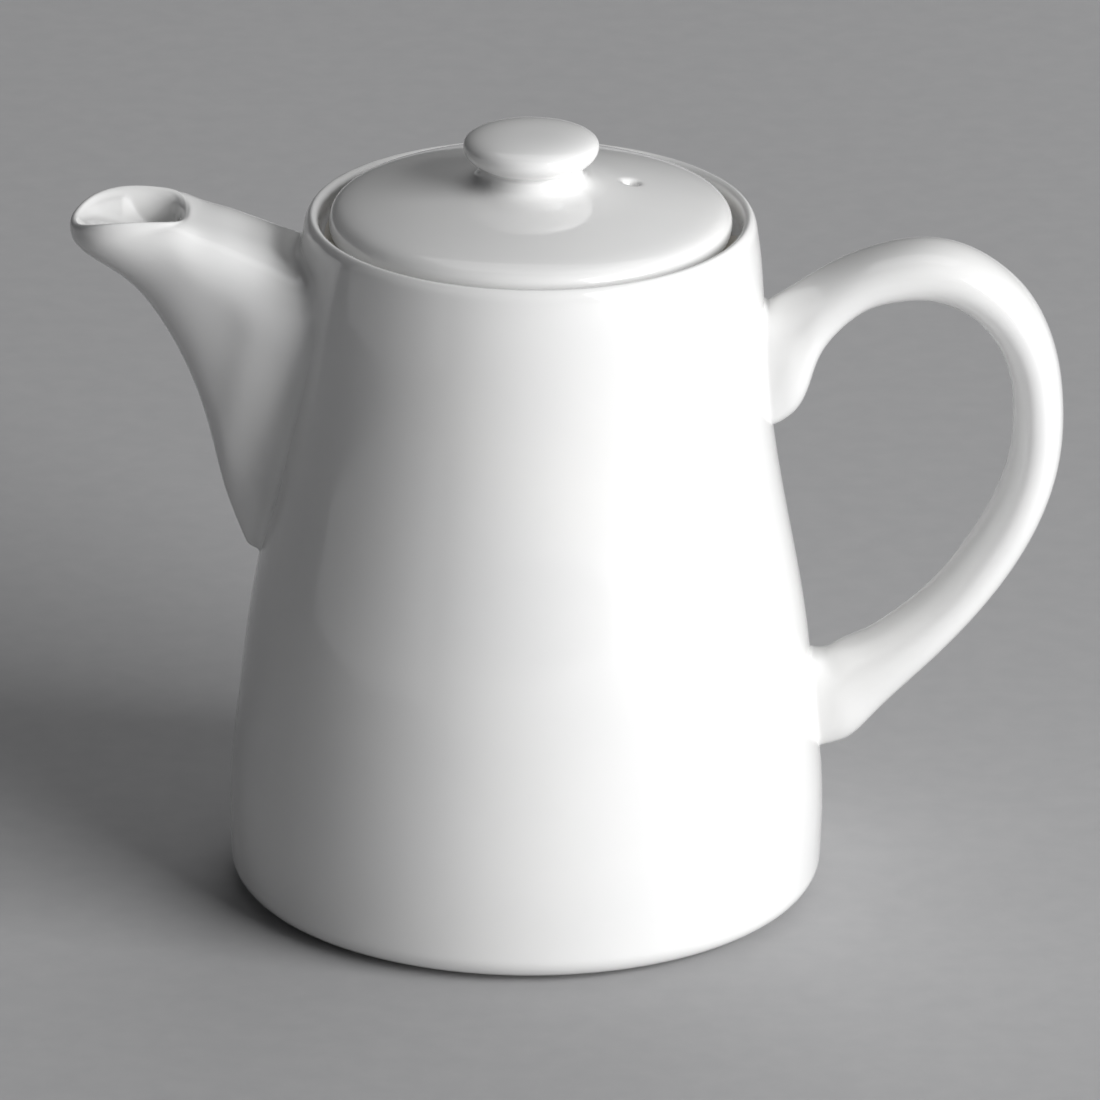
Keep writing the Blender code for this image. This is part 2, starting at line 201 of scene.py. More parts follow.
# Spout sections. Each half outline has nine points: share of the half width, and share of
# the way from the section's top to its keel. The root's is also the port's.
WEDGE = [(0.0, 0.0), (0.52, 0.003), (0.86, 0.045), (1.0, 0.15), (0.90, 0.34),
         (0.70, 0.54), (0.46, 0.77), (0.25, 0.93), (0.0, 1.0)]
ROOT = [(0.0, 0.0), (0.56, 0.0), (0.90, 0.045), (1.0, 0.14), (0.86, 0.31),
        (0.67, 0.50), (0.44, 0.73), (0.26, 0.91), (0.0, 1.0)]
LIP = [(0.0, 0.0), (0.52, 0.015), (0.84, 0.09), (0.98, 0.27), (1.03, 0.48),
       (0.99, 0.67), (0.845, 0.82), (0.525, 0.945), (0.0, 1.0)]
ROUND = [(0.0, 0.0), (0.38, 0.04), (0.70, 0.15), (0.92, 0.31), (1.0, 0.5),
         (0.92, 0.69), (0.70, 0.85), (0.38, 0.96), (0.0, 1.0)]
# Rows: top x, top z, keel x, keel z, half width, shape (0 wedge to 1 lip), side lift
SPOUT_OUTSIDE = [
    (-49.8, 130.6, -58.4, 80.0, 16.5, 0.0, 0.0),
    (-53.5, 132.1, -61.2, 91.5, 15.8, 0.12, 0.2),
    (-58.0, 133.9, -64.6, 102.5, 14.9, 0.3, 0.7),
    (-62.0, 135.1, -69.8, 113.4, 13.9, 0.5, 1.3),
    (-64.2, 135.75, -77.0, 122.8, 12.8, 0.7, 1.75),
    (-65.1, 135.95, -84.2, 127.8, 11.8, 0.9, 1.75),
    (-65.4, 135.9, -87.3, 130.8, 11.1, 1.0, 1.9),
    (-65.7, 135.85, -SPOUT_REACH, 132.8, 10.8, 1.0, 2.0),
    (-66.1, 135.65, -87.5, 134.3, 10.3, 1.0, 2.1),
]
# Inside of the lip: an open bowl (shape 0) that starts near the lip (shape 1) and narrows
BOWL = [(0.0, 0.0), (0.39, 0.015), (0.70, 0.065), (0.91, 0.2), (1.0, 0.42),
        (0.98, 0.65), (0.84, 0.82), (0.52, 0.945), (0.0, 1.0)]
SCOOP = [
    (-66.5, 135.3, -86.9, 134.5, 9.8, 0.6, 2.1),
    (-66.9, 134.5, -86.2, 134.1, 9.2, 0.0, 2.1),
    (-67.1, 133.2, -84.0, 132.6, 8.1, 0.0, 1.5),
    (-67.1, 131.8, -80.6, 130.6, 7.2, 0.0, 0.7),
]
# The side lift of a row grows with this power of the share of the half width
SIDE_LIFT_POWER = 2.2
# Ramp inside the lip, down towards the channel: x and z of its low end, and its slope
RAMP_END = (-70.5, 129.6)
RAMP_SLOPE = 0.27
# Its sides start to curve up at the first x and are steepest from the second on. They climb
# with a power of the share of the half width, and their steepness grows with another.
RAMP_SIDES = (-71.5, -78.0)
RAMP_RISE = 1.85
RAMP_POWER = 4
RAMP_GROWTH = 1.4
RAMP_LEAST_WIDTH = 1.0
# They level off this far under the rim, round a knee of this sharpness
RAMP_UNDER_RIM = 0.4
RAMP_KNEE = 4
# How soft the valley is where the ramp meets the scoop
RAMP_SOFT = 0.2
# Channel behind the scoop: top x, top z, keel x, keel z, half width
CHANNEL = [
    (-67.0, 130.2, -75.0, 128.4, 6.7),
    (-65.4, 126.6, -70.6, 123.4, 4.6),
    (-60.6, 122.6, -66.4, 113.4, 5.2),
    (-54.6, 119.8, -60.6, 99.0, 6.8),
]
# Outlines on the body's wall: top, bottom, half width
SPOUT_ROOT = (128.5, 69.0, 17.2)
SPOUT_SEAM = (130.2, 65.6, 20.2)
SPOUT_PORT = (116.0, 80.0, 8.0)
SPOUT_STANDOFF = 3.2
SPOUT_PULL = 0.55
# Port through the wall, from the outside in: growth of its outline, distance off the wall
PORT_STEPS = [(1.6, 0.0), (0.4, -0.2), (0.4, -WALL / 2), (0.4, 1.3 - WALL), (0.75, 0.4 - WALL),
              (1.4, 0.06 - WALL), (2.2, -WALL)]
PORT_MARGIN = 3.5

# Handle sections down the loop: outer x, outer z, inner x, inner z
HANDLE_UPPER = [
    (47.8, 119.9, 50.7, 96.6), (50.2, 121.4, 53.4, 101.5), (53.0, 123.1, 55.7, 108.6),
    (56.6, 125.3, 59.6, 114.1), (61.8, 127.8, 65.4, 118.5),
]
HANDLE_LOWER = [
    (76.6, 44.5, 69.3, 53.2), (71.2, 39.0, 63.7, 49.8), (66.2, 33.5, 59.8, 48.1),
    (61.8, 29.4, 57.5, 46.9),
]
# Half thickness at the loop's outermost place
HANDLE_SIDE = 4.85
# Middle line between them: x, z and half thickness
HANDLE_LINE = [
    (69.5, 124.9, 5.2), (75.4, 125.5, 5.45), (81.3, 124.4, 5.5), (86.6, 121.6, 5.35),
    (91.0, 117.5, 5.3), (94.2, 112.5, 5.1), (96.3, 106.9, 4.9),
    (HANDLE_REACH - HANDLE_SIDE, 98.5, HANDLE_SIDE), (97.3, 89.0, 4.85), (94.2, 77.5, 4.95),
    (88.6, 66.9, 5.0), (81.5, 57.3, 5.0),
]
HANDLE_HALF_WIDTH = 9.0
LOWER_HALF_WIDTH = 8.5
HANDLE_ROUNDNESS = 2.2
# Roots on the wall: outer end, inner end, half width
UPPER_ROOT = (118.5, 94.7, 8.3)
LOWER_ROOT = (28.3, 46.7, 7.7)
ROOT_SQUARENESS = 2.6
ROOT_STANDOFF = 1.3
ROOT_FILLET = 1.0
ROOT_PULL = 0.5

# Mesh fineness
TURN_STEPS = 240
BODY_STEPS = 12
CURVE_STEPS = 6
SHORT_STEPS = 4
FLARE_STEPS = 5
ROUND_STEPS = 5
FOOT_STEPS = 6
OUTLINE_STEPS = 8
LOFT_STEPS = 8
HANDLE_POINTS = 56
TANGENT_STEPS = 8
FILLET_STEPS = 8
BOTTOM_POINTS = 9
INNER_POINTS = 12
BUTTON_POINTS = (14, 26)
LUG_EDGE_POINTS = 6

# Colours: the glaze's two tones and its specks, the clay's two tones, the floor's two, the air
GLAZE_TONES = ((0.86, 0.858, 0.85, 1.0), (0.835, 0.835, 0.832, 1.0))
SPECK_COLOUR = (0.2, 0.18, 0.16, 1.0)
CLAY_TONES = ((0.74, 0.70, 0.63, 1.0), (0.82, 0.79, 0.73, 1.0))
FLOOR_TONES = ((0.44, 0.44, 0.447, 1.0), (0.46, 0.46, 0.465, 1.0))
AIR_COLOUR = (0.62, 0.63, 0.65, 1.0)
AIR_STRENGTH = 0.09
# Specks: size of a cell, the range of a cell's random value over which its speck appears, and
# where the speck's edge fades, in cells
SPECK_CELL = 17
SPECK_PICK = (0.9, 0.901)
SPECK_FADE = (0.008, 0.016)
# Sockets of a Mix node's two colours and its result
MIX_INPUTS = (6, 7)
MIX_OUTPUT = 2

# Camera: its place and aim from the pot's axis on the table, its lens and its roll
CAMERA_PLACE = (0.0, -2315.1, 979.6)
CAMERA_AIM = (4.24, 0.0, 67.14)
CAMERA_LENS = 422.9
CAMERA_SENSOR = 36.0
CAMERA_RANGE = (0.1, 50.0)
CAMERA_ROLL = math.radians(0.5)

# Studio, in metres: the pot's middle that the lights aim at, the left panel's height, the floor
MIDDLE = (AXIS_X * MM, 0.0, 0.07)
PANEL_HEIGHT = 0.24
FLOOR_RADIUS = 9.0
FLOOR_SEGMENTS = 96


# ---------------------------------------------------------------- curves

def through(points, steps):
    """Smooth curve through the points, a natural cubic spline on their chord lengths.

    steps is the number of samples to each span, and the last point ends the curve."""
    rows = np.array(points, dtype=float)
    lengths = np.maximum(np.linalg.norm(np.diff(rows, axis=0), axis=1), 1e-6)
    count = len(rows)
    system = np.eye(count)
    right = np.zeros_like(rows)
    for i in range(1, count - 1):
        before, after = lengths[i - 1], lengths[i]
        system[i, i - 1:i + 2] = before, 2 * (before + after), after
        right[i] = 6 * ((rows[i + 1] - rows[i]) / after - (rows[i] - rows[i - 1]) / before)
    bend = np.linalg.solve(system, right)
    curve = []
    for i, length in enumerate(lengths):
        for share in np.arange(steps) / steps:
            near, far = share * length, (1 - share) * length
            curve.append((bend[i] * far ** 3 + bend[i + 1] * near ** 3) / (6 * length)
                         + (rows[i] / length - bend[i] * length / 6) * far
                         + (rows[i + 1] / length - bend[i + 1] * length / 6) * near)
    curve.append(rows[-1])
    return np.array(curve)


def closed_through(points, steps):
    """Smooth closed curve through the points."""
    rows = list(points)
    wrap = 3
    curve = through(rows[-wrap:] + rows + rows[:wrap], steps)
    return curve[wrap * steps:-(wrap - 1) * steps - 1][:len(rows) * steps]


def rounded(path, steps=ROUND_STEPS):
    """Polyline with round corners. Each point is (r, z, radius of its round)."""
    points = [path[0][:2]]
    for (ax, az, _), (bx, bz, radius), (cx, cz, _) in zip(path, path[1:], path[2:]):
        corner = np.array([bx, bz])
        into = np.array([ax, az]) - corner
        away = np.array([cx, cz]) - corner
        into /= np.linalg.norm(into)
        away /= np.linalg.norm(away)
        if radius == 0:
            points.append(tuple(corner))
            continue
        half = math.acos(np.clip(into @ away, -1, 1)) / 2
        reach = radius / math.tan(half)
        middle = corner + (into + away) / np.linalg.norm(into + away) * radius / math.sin(half)
        start = corner + into * reach - middle
        end = corner + away * reach - middle
        sweep = math.pi - 2 * half
        for share in np.arange(steps + 1) / steps:
            spot = (start * math.sin((1 - share) * sweep) + end * math.sin(share * sweep))
            points.append(tuple(middle + spot / math.sin(sweep)))
    points.append(path[-1][:2])
    return points


def bezier(start, pull_start, pull_end, end, share):
    """Point at a share of the way along a cubic curve."""
    back = 1 - share
    return (start * back ** 3 + pull_start * 3 * back ** 2 * share
            + pull_end * 3 * back * share ** 2 + end * share ** 3)


BODY_CURVE = through(BODY_STATIONS, BODY_STEPS)
LID_OUTSIDE = through(LID_CURVE, CURVE_STEPS)


def body_radius(z):
    """Outer radius of the body at a height."""
    return np.interp(z, BODY_CURVE[:, 1], BODY_CURVE[:, 0])


def lid_height(r):
    """Height of the lid's dome at a radius."""
    dome = LID_OUTSIDE[LID_OUTSIDE[:, 1] > LID_SEAT + LID_THICKNESS]
    return np.interp(r, dome[:, 0], dome[:, 1])


def on_wall(side, y, z, offset):
    """Point at a sideways place and a height, a distance off the body's wall."""
    return np.array([side * math.sqrt((body_radius(z) + offset) ** 2 - y ** 2), y, z])


def wall_normal(point):
    """Outward direction of the body's wall at a point on it."""
    z = point[2]
    slope = (body_radius(z + 1) - body_radius(z - 1)) / 2
    normal = np.array([point[0], point[1], 0.0])
    normal /= np.linalg.norm(normal)
    normal[2] = -slope
    return normal / np.linalg.norm(normal)


# ---------------------------------------------------------------- meshes

def add_loops(bm, rings):
    """Vertices of each ring."""
    return [[bm.verts.new(point) for point in ring] for ring in rings]


def bridge(bm, loops):
    """Quads from each loop of vertices to the next."""
    count = len(loops[0])
    for lower, upper in zip(loops, loops[1:]):
        for i in range(count):
            j = (i + 1) % count
            bm.faces.new((lower[i], lower[j], upper[j], upper[i]))


def skin(rings, closed=False):
    """Stack of rings of equal length as a bmesh. An open stack gets a fan over each end."""
    rings = np.array(rings)
    bm = bmesh.new()
    loops = add_loops(bm, rings)
    count = len(loops[0])
    bridge(bm, loops + loops[:1] if closed else loops)
    if not closed:
        for loop, ring in ((loops[0], rings[0]), (loops[-1], rings[-1])):
            middle = bm.verts.new(ring.mean(axis=0))
            for i in range(count):
                bm.faces.new((loop[i], loop[(i + 1) % count], middle))
    return bm


def turned(profile, angles, reshape=None):
    """Rings of an r-z profile turned about the axis. reshape may move r at an angle."""
    rings = []
    for r, z in profile:
        radii = np.full(len(angles), r)
        if reshape:
            radii = reshape(r, z, angles)
        rings.append(np.stack([radii * np.cos(angles), radii * np.sin(angles),
                               np.full(len(angles), z)], axis=1))
    return rings


def even_angles(count):
    """Angles of equal steps once round."""
    return np.arange(count) * 2 * np.pi / count


def walk_rims(bm):
    """Open rims of a mesh, each as its vertices in order."""
    spare = {edge for edge in bm.edges if edge.is_boundary}
    rims = []
    while spare:
        edge = spare.pop()
        rim = [edge.verts[0], edge.verts[1]]
        while rim[-1] is not rim[0]:
            edge = next(e for e in rim[-1].link_edges if e in spare)
            spare.remove(edge)
            rim.append(edge.other_vert(rim[-1]))
        rims.append(rim[:-1])
    return rims


def zip_rims(bm, rim, hoop, turn):
    """Fill between an open rim and a hoop inside it, matched by their turn about the middle."""
    rounds = []
    for loop in (rim, hoop):
        turns = np.array([turn(vert.co) for vert in loop])
        if np.sum((np.diff(turns) + np.pi) % (2 * np.pi) - np.pi) < 0:
            loop, turns = loop[::-1], turns[::-1]
        first = int(np.argmin(turns))
        loop, turns = loop[first:] + loop[:first], np.roll(turns, -first)
        rounds.append((loop + [loop[0]], np.append(turns, turns[0] + 2 * np.pi)))
    (outer, outer_turns), (inner, inner_turns) = rounds
    i = j = 0
    while i < len(outer) - 1 or j < len(inner) - 1:
        outer_next = i < len(outer) - 1 and (
            j == len(inner) - 1 or outer_turns[i + 1] <= inner_turns[j + 1])
        if outer_next:
            bm.faces.new((outer[i], outer[i + 1], inner[j]))
            i += 1
        else:
            bm.faces.new((outer[i], inner[j + 1], inner[j]))
            j += 1


def pierce(bm, doomed, rings, turn):
    """Open a passage through a wall: drop the faces that doomed names, on both of its sides,
    and lead the rings from the first side to the other."""
    faces = [face for face in bm.faces if doomed(face.calc_center_median())]
    bmesh.ops.delete(bm, geom=faces, context="FACES")
    rims = walk_rims(bm)
    loops = add_loops(bm, rings)
    bridge(bm, loops)
    for hoop in (loops[0], loops[-1]):
        spot = hoop[0].co
        rim = min(rims, key=lambda verts: min((vert.co - spot).length for vert in verts))
        zip_rims(bm, rim, hoop, turn)


def put(name, data):
    """New object in the scene."""
    thing = bpy.data.objects.new(name, data)
    bpy.context.scene.collection.objects.link(thing)
    return thing


def add_piece(name, bm, body, node, materials, pick=None):
    """Write a bmesh drawn in millimetres as a piece that rides on a body and replaces a node.

    pick gives the number of a face's material from the face's middle."""
    bmesh.ops.triangulate(bm, faces=[face for face in bm.faces if len(face.verts) > 4])
    bmesh.ops.recalc_face_normals(bm, faces=bm.faces[:])
    if pick:
        for face in bm.faces:
            face.material_index = pick(face.calc_center_median())
    bmesh.ops.translate(bm, vec=(AXIS_X, 0, 0), verts=bm.verts[:])
    bmesh.ops.scale(bm, vec=(MM, MM, MM), verts=bm.verts[:])
    mesh = bpy.data.meshes.new(name)
    bm.to_mesh(mesh)
    bm.free()
    mesh.shade_smooth()
    for material in materials:
        mesh.materials.append(material)
    piece = put(name, mesh)
    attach(piece, body)
    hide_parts(node)


# ---------------------------------------------------------------- materials

class Nodes:
    """Short way to add shader nodes and join them."""

    def __init__(self, name):
        self.material = bpy.data.materials.new(name)
        self.material.use_nodes = True
        self.tree = self.material.node_tree
        self.shader = self.tree.nodes["Principled BSDF"]
        self.place = self.add("ShaderNodeTexCoord").outputs["Object"]

    def add(self, kind, **settings):
        """New node with its settings."""
        node = self.tree.nodes.new(kind)
        for key, value in settings.items():
            setattr(node, key, value)
        return node

    def join(self, source, target):
        """Link from an output to an input."""
        self.tree.links.new(source, target)

    def noise(self, size_mm, detail=3.0):
        """Noise whose features measure about size_mm."""
        node = self.add("ShaderNodeTexNoise")
        node.inputs["Scale"].default_value = 1 / (size_mm * MM)
        node.inputs["Detail"].default_value = detail
        self.join(self.place, node.inputs["Vector"])
        return node.outputs["Fac"]

    def spread(self, source, low, high, to_low=0.0, to_high=1.0):
        """Values from low to high spread over another range, and held beyond it."""
        node = self.add("ShaderNodeMapRange")
        for key, value in zip(("From Min", "From Max", "To Min", "To Max"),
                              (low, high, to_low, to_high)):
            node.inputs[key].default_value = value
        self.join(source, node.inputs["Value"])
        return node.outputs["Result"]

    def blend(self, factor, low, high):
        """Colour between two colours, each an output or a plain colour."""
        node = self.add("ShaderNodeMix", data_type="RGBA")
        self.join(factor, node.inputs["Factor"])
        for source, socket in zip((low, high), MIX_INPUTS):
            target = node.inputs[socket]
            if isinstance(source, tuple):
                target.default_value = source
            else:
                self.join(source, target)
        return node.outputs[MIX_OUTPUT]

    def bump(self, height, distance_mm, under=None):
        """Normals of a height, laid over the normals under it."""
        node = self.add("ShaderNodeBump")
        node.inputs["Distance"].default_value = distance_mm * MM
        self.join(height, node.inputs["Height"])
        if under:
            self.join(under, node.inputs["Normal"])
        return node.outputs["Normal"]


def make_glaze():
    """Clear glaze over white clay: slow waves, a fine skin, faint tone shifts, rare specks."""
    nodes = Nodes("porcelain_glaze")
    shader = nodes.shader
    tone = nodes.spread(nodes.noise(size_mm=38, detail=2.0), 0.35, 0.65)
    colour = nodes.blend(tone, *GLAZE_TONES)
    cells = nodes.add("ShaderNodeTexVoronoi", feature="F1")
    cells.inputs["Scale"].default_value = 1 / (SPECK_CELL * MM)
    nodes.join(nodes.place, cells.inputs["Vector"])
    parts = nodes.add("ShaderNodeSeparateColor")
    nodes.join(cells.outputs["Color"], parts.inputs["Color"])
    chosen = nodes.spread(parts.outputs["Red"], *SPECK_PICK)
    dot = nodes.spread(cells.outputs["Distance"], *SPECK_FADE, 1.0, 0.0)
    speck = nodes.add("ShaderNodeMath", operation="MULTIPLY")
    nodes.join(chosen, speck.inputs[0])
    nodes.join(dot, speck.inputs[1])
    colour = nodes.blend(speck.outputs[0], colour, SPECK_COLOUR)
    nodes.join(colour, shader.inputs["Base Color"])
    roughness = nodes.spread(nodes.noise(size_mm=14), 0.3, 0.7, to_low=0.07, to_high=0.13)
    nodes.join(roughness, shader.inputs["Roughness"])
    waves = nodes.bump(nodes.noise(size_mm=16, detail=1.0), distance_mm=0.05)
    fine = nodes.bump(nodes.noise(size_mm=1.3, detail=2.0), distance_mm=0.003, under=waves)
    nodes.join(fine, shader.inputs["Normal"])
    shader.inputs["IOR"].default_value = 1.5
    shader.inputs["Coat Weight"].default_value = 0.35
    shader.inputs["Coat Roughness"].default_value = 0.04
    return nodes.material


def make_biscuit():
    """Bare fired clay: off-white, matte and slightly sandy."""
    nodes = Nodes("bare_clay")
    shader = nodes.shader
    colour = nodes.blend(nodes.noise(size_mm=2.2), *CLAY_TONES)
    nodes.join(colour, shader.inputs["Base Color"])
    roughness = nodes.spread(nodes.noise(size_mm=0.8), 0.3, 0.7, to_low=0.6, to_high=0.85)
    nodes.join(roughness, shader.inputs["Roughness"])
    sand = nodes.bump(nodes.noise(size_mm=0.35, detail=2.0), distance_mm=0.03)
    nodes.join(sand, shader.inputs["Normal"])
    return nodes.material


# ---------------------------------------------------------------- pot body and foot ring

def arc(centre, radius, degrees, count):
    """Points of an arc in a section, from one angle to another."""
    return [(centre[0] + radius * math.cos(angle), centre[1] + radius * math.sin(angle))
            for angle in np.radians(np.linspace(*degrees, count))]


def body_profile():
    """Section of the body, from the middle of its underside round the rim to the floor."""
    groove_in = FOOT_RADIUS - FOOT_WIDTH - SINK
    groove_out = FOOT_RADIUS + SINK
    groove_top = FOOT_HEIGHT + SINK
    across, down = RECESS_BEVEL
    foot = BODY_STATIONS[0][0] - BOTTOM_CORNER
    under = rounded([
        (NEAR_AXIS, RECESS, 0), (groove_in - across, RECESS, 0), (groove_in, RECESS - down, 0),
        (groove_in, groove_top, 0), (groove_out, groove_top, 0), (groove_out, UNDERSIDE, 0),
        (foot, UNDERSIDE, 0),
    ])
    corner = arc((foot, UNDERSIDE + BOTTOM_CORNER), BOTTOM_CORNER, BOTTOM_ARC, BOTTOM_POINTS)
    wall = [tuple(p) for p in through(BODY_STATIONS, CURVE_STEPS)][:-1]
    rim = [tuple(p) for p in through(RIM, SHORT_STEPS)]
    gallery_round, top_round, edge_round, root_round = LEDGE_ROUNDS
    ledge = rounded([
        (GALLERY_RADIUS, GALLERY_TOP, 0), (GALLERY_RADIUS, LEDGE_TOP, gallery_round),
        (LEDGE_BORE, LEDGE_TOP, top_round), (LEDGE_BORE, LEDGE_EDGE, edge_round),
        (body_radius(LEDGE_ROOT) - WALL, LEDGE_ROOT, root_round),
        (body_radius(LEDGE_FOOT) - WALL, LEDGE_FOOT, 0),
    ])
    inner_corner = (BASE_RADIUS - WALL - INNER_CORNER, FLOOR_TOP + INNER_CORNER)
    inside = [(body_radius(z) - WALL, z)
              for z in np.arange(INSIDE_TOP, inner_corner[1], -INSIDE_STEP)]
    floor = arc(inner_corner, INNER_CORNER, INNER_ARC, INNER_POINTS)
    floor += [(FLOOR_RING, FLOOR_TOP), (NEAR_AXIS, FLOOR_TOP)]
    return under + corner + wall + rim + ledge + inside + floor


def from_notch(angles):
    """Turn between an angle and the notch's middle, either way."""
    return np.abs((angles - TURN + np.pi) % (2 * np.pi) - np.pi)


def notch_share(angles):
    """1 inside the notch, 0 away from it, with soft sides."""
    share = np.clip((NOTCH_HALF + NOTCH_SOFT - from_notch(angles)) / (2 * NOTCH_SOFT), 0, 1)
    return share * share * (3 - 2 * share)


def with_notch(r, z, angles):
    """Push the ledge back to the notch's radius near the lug's side."""
    if not LEDGE_ROOT + NOTCH_START < z < RIM_HEIGHT or r > GALLERY_RADIUS - NOTCH_CLEAR:
        return np.full(len(angles), r)
    bore = LEDGE_BORE + (NOTCH_RADIUS - LEDGE_BORE) * notch_share(angles)
    share = (GALLERY_RADIUS - r) / (GALLERY_RADIUS - LEDGE_BORE)
    return GALLERY_RADIUS - share * (GALLERY_RADIUS - bore)


def port_outline(grow):
    """Outline of the spout's port as sideways place and height, grown by a distance."""
    top, bottom, half_width = SPOUT_PORT
    height = bottom - top - 2 * grow
    half = [((half_width + grow) * w, top + grow + height * s) for w, s in ROOT]
    ring = half + [(-y, z) for y, z in half[-2:0:-1]]
    return closed_through(ring, SHORT_STEPS)


def in_port(spot):
    """Whether a point of the wall lies in a plain patch round the port."""
    top, bottom, half_width = SPOUT_PORT
    return (spot.x < 0 and abs(spot.y) < half_width + PORT_MARGIN
            and bottom - PORT_MARGIN < spot.z < top + PORT_MARGIN)


def in_band(radii, heights):
    """Picks material 1 between two radii and two heights, and 0 elsewhere."""
    def pick(spot):
        return int(heights[0] < spot.z < heights[1]
                   and radii[0] < math.hypot(spot.x, spot.y) < radii[1])
    return pick


def add_body(glaze, biscuit):
    """Hollow body with its port. The turn steps are finer beside the notch."""
    fine = TURN + np.radians(np.arange(-NOTCH_SPAN, NOTCH_SPAN, NOTCH_STEP))
    coarse = even_angles(TURN_STEPS)
    coarse = coarse[from_notch(coarse) > np.radians(NOTCH_SPAN + NOTCH_GAP)]
    angles = np.sort(np.concatenate([coarse, fine % (2 * np.pi)]))
    bm = skin(turned(body_profile(), angles, with_notch))
    rings = [[on_wall(-1, y, z, offset) for y, z in port_outline(grow)]
             for grow, offset in PORT_STEPS]
    middle = (SPOUT_PORT[0] + SPOUT_PORT[1]) / 2
    pierce(bm, in_port, rings, lambda spot: math.atan2(spot.z - middle, spot.y))
    pick = in_band(LEDGE_BAND, LEDGE_BAND_HEIGHTS)
    add_piece("pot_body_shell", bm, "pot", "pot_body", [glaze, biscuit], pick)


def add_foot_ring(biscuit):
    """Unglazed ring, let into the groove of the body's underside."""
    inner = FOOT_RADIUS - FOOT_WIDTH
    start = (inner + FOOT_START, FOOT_HEIGHT, 0)
    path = [start, (inner, FOOT_HEIGHT, 0), (inner, 0.0, FOOT_EDGE),
            (FOOT_RADIUS, 0.0, FOOT_EDGE), (FOOT_RADIUS, FOOT_HEIGHT, 0), start]
    profile = rounded(path, FOOT_STEPS)[:-1]
    bm = skin(turned(profile, even_angles(TURN_STEPS)), closed=True)
    add_piece("foot_ring_clay", bm, "pot", "foot_ring", [biscuit])


# ---------------------------------------------------------------- spout

def mirrored(half):
    """Whole ring of control points from the half on the +Y side, top first."""
    return list(half) + [np.array([x, -y, z]) for x, y, z in half[-2:0:-1]]


def spout_half(row, shapes):
    """Half a spout section between a top point and a keel point, mixed from two shapes."""
    top_x, top_z, keel_x, keel_z, half_width, mix, lift = row
    chord = np.array([keel_x - top_x, keel_z - top_z])
    up = np.array([chord[1], -chord[0]]) / np.hypot(*chord)
    half = []
    for (wa, sa), (wb, sb) in zip(*shapes):
        w = (1 - mix) * wa + mix * wb
        s = (1 - mix) * sa + mix * sb
        x, z = np.array([top_x, top_z]) + chord * s + up * lift * w ** SIDE_LIFT_POWER
        half.append(np.array([x, half_width * w, z]))
    return half


def wall_half(root, offset):
    """Half of a root outline, a distance off the body's wall."""
    top, bottom, half_width = root
    return [on_wall(-1, half_width * w, top + (bottom - top) * s, offset) for w, s in ROOT]


def loft_meridians(halves, steps):
    """Carry each control point smoothly through the half sections, then close each section."""
    strips = [through([half[i] for half in halves], steps) for i in range(len(halves[0]))]
    return [closed_through(mirrored(section), OUTLINE_STEPS) for section in zip(*strips)]


def press_ramp(rings, rim):
    """Raise the scoop's rings to the ramp where it lies higher, with a fine valley between."""
    edge = rim[np.argsort(rim[:, 0])]
    near, far = RAMP_SIDES
    pressed = []
    for ring in rings:
        x, y, z = ring.T
        middle = RAMP_END[1] + RAMP_SLOPE * (RAMP_END[0] - x)
        top = np.interp(x, edge[:, 0], edge[:, 2]) - RAMP_UNDER_RIM
        width = np.maximum(np.interp(x, edge[:, 0], np.abs(edge[:, 1])), RAMP_LEAST_WIDTH)
        steep = RAMP_RISE * np.clip((near - x) / (near - far), 0, 1) ** RAMP_GROWTH
        climb = steep * (y / width) ** RAMP_POWER
        climb = climb / (1 + climb ** RAMP_KNEE) ** (1 / RAMP_KNEE)
        ramp = middle + climb * (top - middle)
        # Smooth maximum of the scoop and the ramp
        share = np.clip(0.5 + (ramp - z) / (4 * RAMP_SOFT), 0, 1)
        height = z + (ramp - z) * share + 2 * RAMP_SOFT * share * (1 - share)
        pressed.append(np.stack([x, y, height], axis=1))
    return pressed


def fillet(start_ring, before_ring, seam_ring, pull):
    """Rings that leave a skin along its own run and land flat on the wall at the seam.

    pull is how far the curve holds each of its two directions, as a share of its span."""
    landing = []
    for start, before, seam in zip(start_ring, before_ring, seam_ring):
        run = start - before
        run = run / np.linalg.norm(run)
        normal = wall_normal(seam)
        span = np.linalg.norm(seam - start)
        leave = start + run * span * pull
        flat = leave - seam
        flat = flat - normal * (flat @ normal)
        flat = flat / max(np.linalg.norm(flat), 1e-6)
        landing.append((start, leave, seam + flat * span * pull, seam))
    return [np.array([bezier(*four, share) for four in landing])
            for share in np.arange(1, FILLET_STEPS + 1) / FILLET_STEPS]


